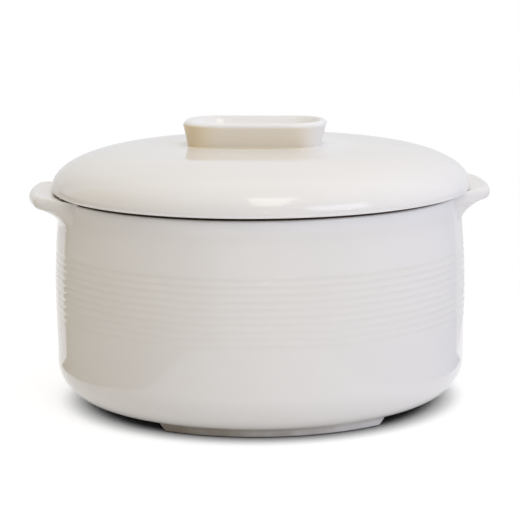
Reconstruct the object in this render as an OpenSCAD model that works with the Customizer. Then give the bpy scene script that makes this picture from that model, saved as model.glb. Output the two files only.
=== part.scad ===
// Covered casserole dish in glazed stoneware: a round, slightly barrelled pot with a band of
// turned ribs, two lug handles and a foot ring cut into three arcs, closed by a low domed lid
// that carries an oblong, flared knob with a dished top.
// Millimetres, +Z up. The origin is on the pot's axis at table height, and the lugs lie along X.

/* [Pot] */
// Largest outside radius of the wall
belly_r = 115; // [100:0.5:130]
// Height of the widest part of the wall above the table
belly_z = 61; // [50:1:80]
// Height of the rim above the table
rim_z = 117.5; // [108:0.5:140]
// How far the wall draws in from the belly to the rim
rim_draw = 3.8; // [0.5:0.1:6]
// How far the wall draws in from the belly to the base corner
heel_draw = 0.5; // [0.2:0.1:4]
// Radius of the outside corner between wall and base
base_round = 20.5; // [16:0.5:30]
// Radius of the inside corner between wall and floor
floor_round = 16; // [8:0.5:22]
// Thickness of the wall
wall = 7.8; // [6:0.1:10]
// Thickness of the floor
floor_t = 8; // [5:0.5:12]
// Radius of the rounded edges of the rim
rim_round = 2; // [1:0.1:2.6]

/* [Ribs] */
// Number of turned grooves in the band
rib_count = 10; // [4:1:12]
// Height from one groove to the next
rib_pitch = 3.85; // [3:0.05:4.5]
// Depth of each groove
rib_depth = 0.3; // [0.2:0.05:0.9]
// Distance from the rim down to the top of the band
rib_drop = 27.5; // [24:0.5:34]

/* [Feet] */
// Height of the feet under the base
foot_h = 4; // [3:0.5:8]
// Distance from the belly radius in to the outer face of the feet
foot_inset = 17; // [14:0.5:30]
// Width of the foot ring
foot_w = 8; // [5:0.5:12]
// Angle that the standing face of each foot covers
foot_span = 71; // [40:1:90]
// Length over which each end of a foot slopes up
foot_ramp = 3.5; // [3:0.5:10]
// Radius of the outer standing edge
foot_round = 1.2; // [0.5:0.1:2]

/* [Lugs] */
// How far the lugs stand out from the rim
lug_reach = 17.1; // [12:0.1:26]
// Width of each lug across its sides
lug_wid = 82; // [50:1:90]
// Radius of the lug's corners seen from above
lug_corner = 12; // [7:0.5:16]
// Gap between the lid's edge and the root of a lug's top under it
lug_gap = 0.9; // [0.7:0.1:4]
// How far the outer edge of a lug rises above its root
lug_rise = 1.6; // [0:0.1:2]
// Thickness at the rounded edge
lug_tip_t = 6; // [5:0.1:9]
// Thickness where the lug meets the wall
lug_root_t = 11.5; // [10:0.5:18]

/* [Lid] */
// How far the lid stands out past the rim
lid_overhang = 5.5; // [3:0.1:8]
// Height of the lid's widest line above the rim
lid_edge_h = 3.1; // [2.4:0.1:6]
// Rise of the dome above the widest line
lid_rise = 23.3; // [14:0.1:34]
// Squareness of the dome: 2 is a plain ellipse, higher is flatter with a fuller shoulder
lid_power = 4.2; // [2.6:0.1:6]
// Thickness of the dome at the crown
lid_t = 7; // [5:0.1:9]
// Width of the bearing face that rests on the rim
seat_w = 3.4; // [2:0.1:3.6]
// Height of the open seam outside the bearing face
seam_gap = 1.3; // [0.6:0.1:2]
// Angle by which the lid is turned in its seat
lid_turn = -10; // [-180:1:180]
// Share of the play in the mouth by which the lid sits over to the right
lid_lean = 0.5; // [-0.6:0.1:0.6]

/* [Locating ring] */
// Radial play between the ring and the mouth of the pot
ring_play = 1.8; // [0.8:0.1:3]
// Thickness of the ring
ring_w = 4; // [3:0.1:6]
// How far the ring reaches down into the mouth
ring_depth = 8; // [4:0.5:14]

/* [Knob] */
// Length of the knob across the top
knob_len = 79.5; // [66:0.5:100]
// Width of the knob across the top
knob_wid = 42.5; // [38:0.5:56]
// Height of the knob above the crown of the lid
knob_h = 13.4; // [11:0.1:20]
// How far each side flares out from base to top
knob_flare = 2.8; // [1:0.1:6]
// Corner radius of the outline at the top
knob_corner = 17; // [10:0.5:18]
// Corner radius of the outline at the base
knob_base_corner = 10.5; // [8:0.5:16]
// Radius of the rolled outer edge
knob_roll = 2.7; // [2:0.1:4]
// Width of the rim round the dish
dish_rim = 6; // [5:0.1:9]
// Depth of the dish
dish_depth = 7; // [3:0.1:8]
// How far the knob sits to one side of the lid's centre, along its length
knob_shift = -2.9; // [-6:0.1:6]

/* [Hidden] */
$fn = 96;

glaze = "#e8e5e1";

// Number of straight steps in each curved stretch of an outline
arc_steps = 12;
edge_steps = 5;
wall_steps = 4;
steps_per_rib = 6;
lug_steps = 6;
dome_steps = 26;
corner_steps = 8;

// Heights and radii that several pieces share
rim_r = belly_r - rim_draw;
mouth_r = rim_r - wall;
heel_z = foot_h + base_round;
floor_z = foot_h + floor_t;
rib_top_z = rim_z - rib_drop;
rib_low_z = rib_top_z - rib_count * rib_pitch;
foot_r = belly_r - foot_inset;
lug_top_z = rim_z + seam_gap - lug_gap;
lug_tip_r = rim_r + lug_reach;
lid_r = rim_r + lid_overhang;
lid_edge_z = rim_z + lid_edge_h;
seat_r = rim_r - rim_round;
hollow_r = seat_r - seat_w;
ring_r = mouth_r - ring_play;
ring_low_z = rim_z - ring_depth;
lid_shift = lid_lean * ring_play;
knob_base = [knob_len / 2 - knob_flare, knob_wid / 2 - knob_flare];
crown_r = norm(knob_base) + abs(knob_shift);
crown_z = dome_z(crown_r);
hollow_rise = crown_z - lid_t - rim_z;

// Points along a circular arc about c, from angle a0 to angle a1
function arc(c, r, a0, a1, n) =
    [for (i = [0:n]) let (a = a0 + (a1 - a0) * i / n) c + r * [cos(a), sin(a)]];

// Steps from a to b, both included
function steps(a, b, n) = [for (i = [0:n]) a + (b - a) * i / n];

// Outside radius of the plain wall: a parabola above the belly, an eased draw-in below it
function wall_r(z) = z > belly_z
    ? belly_r - rim_draw * pow((z - belly_z) / (rim_z - belly_z), 2)
    : belly_r - heel_draw * (1 - cos(180 * (belly_z - z) / (belly_z - heel_z))) / 2;

// Depth of the turned grooves at height z within the band
function rib_cut(z) = rib_depth * (1 - cos(360 * (rib_top_z - z) / rib_pitch)) / 2;

// Outer and inner surfaces of the dome: flat at the crown with a full, rounded shoulder
function dome_z(r) = lid_edge_z + lid_rise * sqrt(1 - pow(r / lid_r, lid_power));
function hollow_z(r) = rim_z + hollow_rise * sqrt(1 - pow(r / hollow_r, lid_power));

// Outline of the outside of the pot, in stretches from the base up to the rim
heel_r = wall_r(heel_z);
base_line = arc([heel_r - base_round, heel_z], base_round, -90, 0, arc_steps);
low_wall_line = [for (z = steps(heel_z, rib_low_z, wall_steps)) [wall_r(z), z]];
rib_line = [for (z = steps(rib_low_z, rib_top_z, rib_count * steps_per_rib))
    [wall_r(z) - rib_cut(z), z]];
top_wall_line = [for (z = steps(rib_top_z, rim_z - rim_round, wall_steps)) [wall_r(z), z]];
lip_r = wall_r(rim_z - rim_round);
lip_line = arc([lip_r - rim_round, rim_z - rim_round], rim_round, 0, 90, edge_steps);

// Outline of the inside of the pot, from the rim down to the floor
inner_heel_z = floor_z + floor_round;
inner_heel_r = wall_r(inner_heel_z) - wall;
mouth_line = arc([mouth_r + rim_round, rim_z - rim_round], rim_round, 90, 180, edge_steps);
inner_wall_line = [for (z = steps(rim_z - rim_round, inner_heel_z, arc_steps)) [wall_r(z) - wall, z]];
floor_line = arc([inner_heel_r - floor_round, inner_heel_z], floor_round, 0, -90, arc_steps);

// A list without its first point, to join outlines that share an end
function rest(list) = [for (i = [1:len(list) - 1]) list[i]];

// A solid through a stack of outlines that all have the same number of points
module loft(outlines) {
    n = len(outlines[0]);
    m = len(outlines);
    polyhedron(
        points = [for (o = outlines) each o],
        faces = concat(
            [[for (i = [0:n - 1]) i]],
            [for (j = [0:m - 2], i = [0:n - 1]) let (p = j * n + i, q = j * n + (i + 1) % n)
                each [[p, p + n, q + n], [p, q + n, q]]],
            [[for (i = [n - 1:-1:0]) (m - 1) * n + i]]));
}

module pot_body() {
    color(glaze)
    rotate_extrude()
        polygon(concat([[0, foot_h]], base_line, rest(low_wall_line), rest(rib_line),
                       rest(top_wall_line), rest(lip_line), mouth_line, rest(inner_wall_line),
                       rest(floor_line), [[0, floor_z]]));
}

// The pot's upper wall and its base as full solids, to shape the pieces that are joined to them
module upper_wall_solid() {
    clear_z = rim_z + wall;
    rotate_extrude()
        polygon(concat([[0, rib_top_z]], top_wall_line, [[lip_r, clear_z], [0, clear_z]]));
}

module base_solid() {
    rotate_extrude() polygon(concat([[0, foot_h]], base_line, [[0, heel_z]]));
}

// A lug's outline at height z: straight sides at half width w, round corners of radius c and an
// outer edge of radius r about the pot's axis
function tab(r, w, c, z) =
    let (corner = [sqrt(pow(r - c, 2) - pow(w - c, 2)), w - c], turn = atan2(corner[1], corner[0]),
         half = concat(arc([0, 0], r, 0, turn, lug_steps), rest(arc(corner, c, turn, 90, lug_steps)),
                       [[mouth_r - wall, w]]),
         last = len(half) - 1)
    [for (i = [-last:last]) let (p = half[abs(i)]) [p[0], sign(i) * p[1], z]];

// One lug: a tab that rises a little outwards, with a rounded edge and an underside that deepens
// in a curve towards the wall
module lug() {
    nose_r = lug_tip_t / 2;
    under_r = lug_tip_r - nose_r;
    deepen = lug_root_t - lug_tip_t;
    buried = (under_r - rim_r + wall / 2) / (under_r - rim_r);
    under = [for (u = steps(buried, 0, lug_steps))
        tab(under_r + (rim_r - under_r) * u, lug_wid / 2 - nose_r * max(0, 1 - u), lug_corner - nose_r,
            lug_top_z - lug_tip_t - deepen * pow(u, 1.5))];
    nose = [for (a = steps(-90, 90, lug_steps)) let (inset = nose_r * (1 - cos(a)))
        tab(lug_tip_r - inset, lug_wid / 2 - inset, lug_corner - inset,
            lug_top_z - nose_r * (1 - sin(a)))];
    rise = lug_rise / lug_reach;
    difference() {
        multmatrix([[1, 0, 0, 0], [0, 1, 0, 0], [rise, 0, 1, -rise * rim_r]])
            loft(concat(under, rest(nose)));
        upper_wall_solid();
    }
}

module right_lug() { color(glaze) lug(); }
module left_lug() { color(glaze) mirror([1, 0, 0]) lug(); }

// One foot: an arc of the ring with sloping ends, cut to the underside of the base
module foot(direction) {
    ramp_angle = foot_ramp / foot_r * 180 / PI;
    full_span = foot_span + 2 * ramp_angle;
    slope = atan(foot_ramp / foot_h);
    block = foot_r + foot_w;
    rotate([0, 0, direction])
    difference() {
        rotate([0, 0, -full_span / 2])
            rotate_extrude(angle = full_span)
                polygon(concat([[foot_r - foot_w, heel_z / 2], [foot_r - foot_w, 0]],
                               arc([foot_r - foot_round, foot_round], foot_round, -90, 0, edge_steps),
                               [[foot_r, heel_z / 2]]));
        base_solid();
        for (side = [-1, 1])
            rotate([0, 0, side * foot_span / 2])
                rotate([-side * slope, 0, 0])
                    translate([0, side > 0 ? 0 : -block, -block])
                        cube([2 * block, block, 2 * block]);
    }
}

module front_foot() { color(glaze) foot(-90); }
module rear_right_foot() { color(glaze) foot(30); }
module rear_left_foot() { color(glaze) foot(150); }

// Points down the dome from the edge of the flat crown to the widest line
crown_turn = acos(pow(crown_r / lid_r, lid_power / 2));
dome_line = [for (t = steps(crown_turn, 0, dome_steps))
    [lid_r * pow(cos(t), 2 / lid_power), lid_edge_z + lid_rise * sin(t)]];
edge_drop = lid_edge_h - seam_gap;
edge_line = [for (a = steps(0, 90, edge_steps))
    [lid_r - edge_drop * (1 - cos(a)), lid_edge_z - edge_drop * sin(a)]];

// Points up the hollow, which pass through both faces of the locating ring
ring_in_r = ring_r - ring_w;
shoulder_line = [for (t = steps(0, acos(pow(ring_r / hollow_r, lid_power / 2)), edge_steps))
    [hollow_r * pow(cos(t), 2 / lid_power), rim_z + hollow_rise * sin(t)]];
ceiling_line = [for (t = steps(acos(pow(ring_in_r / hollow_r, lid_power / 2)), 90, arc_steps))
    [hollow_r * pow(cos(t), 2 / lid_power), rim_z + hollow_rise * sin(t)]];

module lid_shell() {
    color(glaze)
    translate([lid_shift, 0, 0])
        rotate_extrude()
            polygon(concat([[0, crown_z]], dome_line, rest(edge_line),
                           [[seat_r, rim_z + seam_gap], [seat_r, rim_z]], shoulder_line, ceiling_line));
}

module lid_locating_ring() {
    round_r = ring_w / 3;
    color(glaze)
    translate([lid_shift, 0, 0])
        rotate_extrude()
            polygon(concat(arc([ring_in_r + round_r, ring_low_z + round_r], round_r, 180, 270, edge_steps),
                           arc([ring_r - round_r, ring_low_z + round_r], round_r, 270, 360, edge_steps),
                           [[ring_r, hollow_z(ring_r)], [ring_in_r, hollow_z(ring_in_r)]]));
}

// A closed outline at height z with straight sides and round corners, for half sizes h and radius c
function oblong(h, c, z) = [for (q = [0:3]) let (s = [q == 0 || q == 3 ? 1 : -1, q < 2 ? 1 : -1])
    each [for (p = arc([s[0] * (h[0] - c), s[1] * (h[1] - c)], c, 90 * q, 90 * q + 90, corner_steps))
        [p[0], p[1], z]]];

// The knob: flared sides, a rolled edge, a rounded inner lip and an oval dish
module lid_knob() {
    top = [knob_len / 2, knob_wid / 2];
    crest_w = dish_rim - knob_roll;
    lip_drop = crest_w / 2;
    dish_h = top - [dish_rim, dish_rim];
    dish_bottom = 0.4;
    full = 0.98;
    side = [for (t = steps(0, 1, 3)) let (out = t * knob_flare)
        oblong(knob_base + [out, out], knob_base_corner + t * (knob_corner - knob_base_corner),
               t * (knob_h - knob_roll))];
    roll = [for (a = steps(0, 90, edge_steps)) let (inset = knob_roll * (1 - cos(a)))
        oblong(top - [inset, inset], min(knob_corner, full * (top[1] - inset)),
               knob_h - knob_roll * (1 - sin(a)))];
    lip = [for (a = steps(0, 90, edge_steps)) let (inset = knob_roll + crest_w * sin(a))
        oblong(top - [inset, inset], min(knob_corner, full * (top[1] - inset)),
               knob_h - lip_drop * (1 - cos(a)))];
    dish = [for (a = steps(0, 90, arc_steps / 2)) let (k = 1 - (1 - dish_bottom) * (1 - cos(a)))
        oblong(dish_h - (1 - k) * [dish_h[1], dish_h[1]], full * k * dish_h[1],
               knob_h - lip_drop - (dish_depth - lip_drop) * sin(a))];
    color(glaze)
    translate([lid_shift, 0, crown_z])
        rotate([0, 0, lid_turn])
            translate([knob_shift, 0, 0])
                loft(concat(side, rest(roll), rest(lip), rest(dish)));
}

pot_body();
left_lug();
right_lug();
front_foot();
rear_right_foot();
rear_left_foot();
lid_shell();
lid_locating_ring();
lid_knob();
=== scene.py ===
"""Looks for the covered casserole dish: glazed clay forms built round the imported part, in metres."""

import logging
import math
from collections.abc import Callable, Sequence
from dataclasses import dataclass, field
from enum import Enum

import bpy
from mathutils import Matrix, Vector


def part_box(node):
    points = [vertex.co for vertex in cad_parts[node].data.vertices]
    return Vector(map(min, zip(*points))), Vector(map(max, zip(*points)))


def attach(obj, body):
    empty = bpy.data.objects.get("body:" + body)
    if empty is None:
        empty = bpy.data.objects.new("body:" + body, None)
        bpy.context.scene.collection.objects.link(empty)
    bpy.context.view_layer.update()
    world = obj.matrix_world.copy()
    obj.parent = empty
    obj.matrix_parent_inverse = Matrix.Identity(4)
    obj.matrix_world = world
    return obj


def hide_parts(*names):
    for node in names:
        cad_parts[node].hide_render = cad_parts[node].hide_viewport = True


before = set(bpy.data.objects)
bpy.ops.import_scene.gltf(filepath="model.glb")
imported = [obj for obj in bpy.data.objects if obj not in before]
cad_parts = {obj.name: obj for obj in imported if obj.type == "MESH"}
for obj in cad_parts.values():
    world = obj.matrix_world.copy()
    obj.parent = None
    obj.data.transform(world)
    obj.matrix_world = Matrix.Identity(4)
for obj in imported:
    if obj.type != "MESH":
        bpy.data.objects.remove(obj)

LOG = logging.getLogger("casserole")
MM = 0.001
SENSOR_MM = 36.0
PHOTO_PX = 520
FOCAL_PX = 2040
SHARP_DEG = 50.0
NOISE_BAND = (0.3, 0.7)
GLAZE_AND_LIGHT_MARK = "glaze_and_light"

Point = tuple[float, float, float]
Outline = list[tuple[float, float]]
Row = list[Point]
Colour = tuple[float, float, float]


class Body(Enum):
    """The two loose bodies of the part, by their names in the record."""

    POT = "pot"
    LID = "lid"


class Slot(Enum):
    """The record's material slots."""

    POT = "pot_glaze"
    LID = "lid_glaze"
    FOOT = "foot_glaze"


class Side(Enum):
    """The side of the pot that a lug stands on, as the sign of X."""

    LEFT = -1
    RIGHT = 1


class FootPlace(Enum):
    """The three feet, by the direction in degrees that each one faces."""

    FRONT = -90
    REAR_RIGHT = 30
    REAR_LEFT = 150


class Cover(Enum):
    """What covers a face of the clay, in the order of a piece's material slots."""

    GLAZE = 0
    BARE = 1


def steps(start: float, end: float, count: int) -> list[float]:
    """Spread values evenly over a stretch.

    Args:
        start: First value.
        end: Last value.
        count: Number of steps between them.

    Returns:
        The count + 1 values, both ends included.
    """
    return [start + (end - start) * i / count for i in range(count + 1)]


def ease(t: float) -> float:
    """Smooth a share from 0 to 1 so that it starts and ends gently."""
    t = min(1.0, max(0.0, t))
    return t * t * (3 - 2 * t)


def arc(centre: tuple[float, float], radius: float, start: float, end: float, count: int) -> Outline:
    """Draw a circular arc.

    Args:
        centre: Centre of the arc.
        radius: Radius in metres.
        start: First angle in degrees.
        end: Last angle in degrees.
        count: Number of steps.

    Returns:
        The points along the arc, both ends included.
    """
    turns = [math.radians(a) for a in steps(start, end, count)]
    return [(centre[0] + radius * math.cos(a), centre[1] + radius * math.sin(a)) for a in turns]


def lay_sheet(name: str, corners: Sequence[Point]) -> bpy.types.Object:
    """Make a flat sheet.

    Args:
        name: Name of the sheet.
        corners: Its four corners in order.

    Returns:
        The new object, which has no finish yet.
    """
    mesh = bpy.data.meshes.new(name)
    mesh.from_pydata(corners, [], [(0, 1, 2, 3)])
    sheet = bpy.data.objects.new(name, mesh)
    bpy.context.scene.collection.objects.link(sheet)
    return sheet


@dataclass
class ClayForm:
    """A closed skin of clay in the making.

    Attributes:
        points: Corner points in the part's frame.
        faces: Corner numbers of each face.
        pool_and_shade: For each point, its mark from -1 (lighter) to 1 (darker): real pooled and thin glaze,
            and also painted light and painted shade.
    """

    points: list[Point] = field(default_factory=list)
    faces: list[tuple[int, ...]] = field(default_factory=list)
    pool_and_shade: list[float] = field(default_factory=list)

    @classmethod
    def turned(cls, outline: Outline, pool_and_shade: Sequence[float], centre: tuple[float, float],
               segments: int) -> "ClayForm":
        """Turn an outline on the wheel.

        Args:
            outline: Radius and height of each point. It starts and ends on the axis, or closes on itself.
            pool_and_shade: Mark of each point of the outline, for glaze and for painted light and shade.
            centre: X and Y of the axis.
            segments: Number of steps round the axis.

        Returns:
            The turned form.
        """
        form = cls()
        rings: list[list[int]] = []
        on_axis = 1e-9
        for (r, z), mark in zip(outline, pool_and_shade):
            first = len(form.points)
            around = 1 if r < on_axis else segments
            for i in range(around):
                a = 2 * math.pi * i / segments
                form.points.append((centre[0] + r * math.cos(a), centre[1] + r * math.sin(a), z))
                form.pool_and_shade.append(mark)
            rings.append([first + i % around for i in range(segments)])
        closed = outline[0][0] > on_axis
        for j in range(len(rings) if closed else len(rings) - 1):
            low, high = rings[j], rings[(j + 1) % len(rings)]
            for i in range(segments):
                k = (i + 1) % segments
                corners = dict.fromkeys((low[i], low[k], high[k], high[i]))
                form.faces.append(tuple(corners))
        return form

    @classmethod
    def lofted(cls, rows: Sequence[Row], pool_and_shade: Sequence[float], looped: bool) -> "ClayForm":
        """Draw a skin over rows of points.

        Args:
            rows: Rows with the same number of points.
            pool_and_shade: Mark of each row, for glaze and for painted light and shade.
            looped: True where each row is a closed outline, so that the first and last rows get
                caps. False where the rows form a closed section that runs from one end to the other.

        Returns:
            The closed form.
        """
        form = cls([p for row in rows for p in row], [], [m for m, row in zip(pool_and_shade, rows) for _ in row])
        n, m = len(rows[0]), len(rows)
        for j in range(m - 1 if looped else m):
            for i in range(n if looped else n - 1):
                j2, i2 = (j + 1) % m, (i + 1) % n
                form.faces.append((j * n + i, j * n + i2, j2 * n + i2, j2 * n + i))
        if looped:
            form.faces += [tuple(range(n)), tuple(range((m - 1) * n, m * n))]
        else:
            form.faces += [tuple(range(0, m * n, n)), tuple(range(n - 1, m * n, n))]
        return form

    def fire(self, name: str, bare: Callable[[Vector, Vector], bool] | None = None) -> bpy.types.Object:
        """Make the form a piece of the scene.

        Args:
            name: Name of the piece.
            bare: Test of a face's centre and normal that says which faces have no glaze.

        Returns:
            The new object, smooth and with its normals facing out.
        """
        mesh = bpy.data.meshes.new(name)
        mesh.from_pydata(self.points, [], self.faces)
        mesh.attributes.new(GLAZE_AND_LIGHT_MARK, "FLOAT", "POINT").data.foreach_set("value", self.pool_and_shade)
        piece = bpy.data.objects.new(name, mesh)
        bpy.context.scene.collection.objects.link(piece)
        bpy.context.view_layer.objects.active = piece
        bpy.ops.object.select_all(action="DESELECT")
        piece.select_set(True)
        bpy.ops.object.mode_set(mode="EDIT")
        bpy.ops.mesh.select_all(action="SELECT")
        bpy.ops.mesh.normals_make_consistent(inside=False)
        bpy.ops.object.mode_set(mode="OBJECT")
        mesh.shade_smooth()
        mesh.set_sharp_from_angle(angle=math.radians(SHARP_DEG))
        for face in mesh.polygons:
            is_bare = bare is not None and bare(face.center, face.normal)
            face.material_index = (Cover.BARE if is_bare else Cover.GLAZE).value
        return piece


class NodeBench:
    """A small helper that lays out the nodes of one material or world."""

    def __init__(self, tree: bpy.types.NodeTree) -> None:
        """Start on an empty node tree."""
        self.tree = tree
        tree.nodes.clear()

    @classmethod
    def for_finish(cls, name: str) -> tuple[bpy.types.Material, "NodeBench"]:
        """Start a new material and the bench for its nodes."""
        material = bpy.data.materials.new(name)
        material.use_nodes = True
        return material, cls(material.node_tree)

    def add(self, kind: str, **inputs: object) -> bpy.types.Node:
        """Add a node.

        Args:
            kind: Blender's name of the node type.
            **inputs: Socket names, with underscores for spaces, and a value or an output socket for each.

        Returns:
            The new node.
        """
        node = self.tree.nodes.new(kind)
        for label, value in inputs.items():
            self.feed(node.inputs[label.replace("_", " ")], value)
        return node

    def feed(self, socket: bpy.types.NodeSocket, value: object) -> None:
        """Set a socket to a value, or link an output socket to it."""
        if isinstance(value, bpy.types.NodeSocket):
            self.tree.links.new(value, socket)
        else:
            socket.default_value = value

    def noise(self, where: bpy.types.NodeSocket, scale: float, detail: float = 2.0) -> bpy.types.NodeSocket:
        """Give the value of a noise with that many waves to the metre."""
        return self.add("ShaderNodeTexNoise", Vector=where, Scale=scale, Detail=detail).outputs["Fac"]

    def blend(self, share: object, first: object, second: object) -> bpy.types.NodeSocket:
        """Mix two colours by a share."""
        node = self.tree.nodes.new("ShaderNodeMix")
        node.data_type = "RGBA"
        for index, value in ((0, share), (6, first), (7, second)):
            self.feed(node.inputs[index], value)
        return node.outputs[2]

    def maths(self, operation: str, first: object, second: object) -> bpy.types.NodeSocket:
        """Work out one value from two."""
        node = self.tree.nodes.new("ShaderNodeMath")
        node.operation = operation
        self.feed(node.inputs[0], first)
        self.feed(node.inputs[1], second)
        return node.outputs[0]

    def spread(self, value: object, low: tuple[float, float],
               high: tuple[float, float]) -> bpy.types.NodeSocket:
        """Map a value from one range to another.

        Args:
            value: The value or its socket.
            low: Ends of the range that goes in.
            high: Ends of the range that comes out.

        Returns:
            The mapped value.
        """
        node = self.add("ShaderNodeMapRange", Value=value)
        for index, bound in zip(range(1, 5), (*low, *high)):
            node.inputs[index].default_value = bound
        return node.outputs[0]


@dataclass(frozen=True)
class GlazeFinish:
    """A glossy ivory-white glaze over stoneware.

    Attributes:
        name: Name of the finish.
        light: Lighter tone of the glaze.
        deep: Deeper tone, in slow drifts over the surface.
        pool_and_shade: Tone where the glaze has gathered; in the pot's ribs and on the knob's sides it is
            also painted shade.
        thin: Lighter tone where the glaze runs thin; on the pot's rim, the lid's edge and crown and the
            knob's rolled edge and dish it is painted light.
        side_shade: Tone of the painted shade on the -X side of the feet, as if lit from the right.
        side_shaded: Share of that painted shade at its strongest.
        side_shade_half: How far to each side of the middle the painted shade takes to come and go.
        side_shade_ragged: How far its edge wanders.
        roughness: Smallest and largest roughness.
        ripple: Height in metres of the slow ripple in the glaze.
        peel: Height of the fine ripple as a share of the slow one.
        ior: Refractive index of the glaze.
        drift_band: Values of the noise between which the tone drifts from light to deep.
        drift_waves: Waves to the metre of the drifts of tone.
        side_shade_waves: Waves to the metre of the painted shade's edge.
        gloss_waves: Waves to the metre of the drifts of gloss.
        ripple_waves: Waves to the metre of the slow ripple.
        peel_waves: Waves to the metre of the fine ripple.
    """

    name: str
    light: Colour
    deep: Colour
    pool_and_shade: Colour
    thin: Colour
    side_shade: Colour = (0.33, 0.29, 0.225)
    side_shaded: float = 0.0
    side_shade_half: float = 50 * MM
    side_shade_ragged: float = 20 * MM
    roughness: tuple[float, float] = (0.025, 0.045)
    ripple: float = 0.05 * MM
    peel: float = 0.02
    ior: float = 1.5
    drift_band: tuple[float, float] = (0.35, 0.65)
    drift_waves: float = 11
    side_shade_waves: float = 60
    gloss_waves: float = 45
    ripple_waves: float = 34
    peel_waves: float = 420

    def make(self) -> bpy.types.Material:
        """Build the material."""
        material, bench = NodeBench.for_finish(self.name)
        where = bench.add("ShaderNodeTexCoord").outputs["Object"]
        drift = bench.spread(bench.noise(where, self.drift_waves, 3), self.drift_band, (0, 1))
        colour = bench.blend(drift, (*self.light, 1), (*self.deep, 1))
        mark = bench.tree.nodes.new("ShaderNodeAttribute")
        mark.attribute_name = GLAZE_AND_LIGHT_MARK
        pool_and_light = mark.outputs["Fac"]
        # Positive marks blend in the pool_and_shade tone and negative ones the thin tone: real glaze pooling
        # and thinning, and also painted shade and painted light.
        colour = bench.blend(bench.spread(pool_and_light, (0, 1), (0, 1)), colour, (*self.pool_and_shade, 1))
        colour = bench.blend(bench.spread(pool_and_light, (0, -1), (0, 1)), colour, (*self.thin, 1))
        # Painted shade: the -X side is darkened towards the side_shade tone, as if lit from the right.
        if self.side_shaded:
            aside = bench.add("ShaderNodeSeparateXYZ", Vector=where).outputs["X"]
            edge = bench.spread(bench.noise(where, self.side_shade_waves, 3), NOISE_BAND,
                                (-self.side_shade_ragged, self.side_shade_ragged))
            side_shade_line = bench.maths("ADD", aside, edge)
            painted_side_shade = bench.spread(side_shade_line, (self.side_shade_half, -self.side_shade_half), (0, self.side_shaded))
            colour = bench.blend(painted_side_shade, colour, (*self.side_shade, 1))
        gloss = bench.spread(bench.noise(where, self.gloss_waves, 3), NOISE_BAND, self.roughness)
        wave = bench.maths("MULTIPLY", bench.noise(where, self.ripple_waves, 1), self.ripple)
        peel = bench.maths("MULTIPLY", bench.noise(where, self.peel_waves, 1), self.ripple * self.peel)
        bump = bench.add("ShaderNodeBump", Height=bench.maths("ADD", wave, peel), Strength=1.0, Distance=1.0)
        shader = bench.add("ShaderNodeBsdfPrincipled", Base_Color=colour, Roughness=gloss,
                           IOR=self.ior, Normal=bump.outputs[0])
        bench.add("ShaderNodeOutputMaterial", Surface=shader.outputs[0])
        return material


@dataclass(frozen=True)
class BareClayFinish:
    """Fired clay that was wiped clean of glaze, as on standing faces and bearing faces. Its very dark tone is
    partly painted shade, which makes the seam under the lid and the gap under the base read dark.

    Attributes:
        name: Name of the finish.
        clay: Main tone, dark in part as painted shade.
        grit: Tone of the fine grit in it.
        grit_band: Values of the grain between which the clay turns to grit.
        roughness: Smallest and largest roughness.
        grain: Height in metres of the grain.
        grain_waves: Waves to the metre of the grain.
    """

    name: str = "bare_clay"
    clay: Colour = (0.12, 0.088, 0.062)
    grit: Colour = (0.08, 0.058, 0.04)
    grit_band: tuple[float, float] = (0.5, 0.7)
    roughness: tuple[float, float] = (0.75, 0.92)
    grain: float = 0.12 * MM
    grain_waves: float = 900

    def make(self) -> bpy.types.Material:
        """Build the material."""
        material, bench = NodeBench.for_finish(self.name)
        where = bench.add("ShaderNodeTexCoord").outputs["Object"]
        grain = bench.noise(where, self.grain_waves, 3)
        colour = bench.blend(bench.spread(grain, self.grit_band, (0, 1)), (*self.clay, 1), (*self.grit, 1))
        rough = bench.spread(grain, NOISE_BAND, self.roughness)
        bump = bench.add("ShaderNodeBump", Height=bench.maths("MULTIPLY", grain, self.grain), Distance=1.0)
        shader = bench.add("ShaderNodeBsdfPrincipled", Base_Color=colour, Roughness=rough,
                           Normal=bump.outputs[0])
        bench.add("ShaderNodeOutputMaterial", Surface=shader.outputs[0])
        return material


@dataclass(frozen=True)
class Kiln:
    """The finishes that every piece shares.

    Attributes:
        pot: Glaze of the pot and its lugs.
        lid: Glaze of the lid.
        foot: Glaze of the feet.
        bare: Bare clay.
    """

    pot: bpy.types.Material
    lid: bpy.types.Material
    foot: bpy.types.Material
    bare: bpy.types.Material

    @classmethod
    def lit(cls) -> "Kiln":
        """Make all the finishes."""
        # The pot's thin tone is painted light on the rim and the wall below it; its pool_and_shade tone also
        # paints shade into the ribs.
        pot = GlazeFinish("pot_glaze", light=(0.80, 0.777, 0.74), deep=(0.788, 0.762, 0.722),
                          pool_and_shade=(0.73, 0.685, 0.61), thin=(0.90, 0.885, 0.86))
        # The lid's pool_and_shade tone is the warm painted shade on the knob's sides; its thin tone is
        # painted light on the lid's edge and crown and on the knob's rim and dish.
        lid = GlazeFinish("lid_glaze", light=(0.80, 0.777, 0.74), deep=(0.79, 0.765, 0.726),
                          pool_and_shade=(0.775, 0.65, 0.44), thin=(0.88, 0.866, 0.84))
        # The feet carry painted shade on their -X side through side_shaded.
        foot = GlazeFinish("foot_glaze", light=(0.78, 0.75, 0.705), deep=(0.765, 0.732, 0.685),
                           pool_and_shade=(0.69, 0.635, 0.55), thin=(0.79, 0.76, 0.715), side_shaded=0.9)
        return cls(pot.make(), lid.make(), foot.make(), BareClayFinish().make())

    def dress(self, piece: bpy.types.Object, glaze: bpy.types.Material, body: Body, slot: Slot,
              *nodes: str) -> None:
        """Give a piece its finishes and its place in the part.

        Args:
            piece: The piece.
            glaze: Its glaze.
            body: The body that it moves with.
            slot: The record's slot that its finish comes from; not used.
            *nodes: The CAD nodes that it stands for.
        """
        piece.data.materials.append(glaze)
        piece.data.materials.append(self.bare)
        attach(piece, body.value)
        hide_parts(*nodes)
        LOG.info("%s: %d faces, on %s", piece.name, len(piece.data.polygons), body.value)


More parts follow.
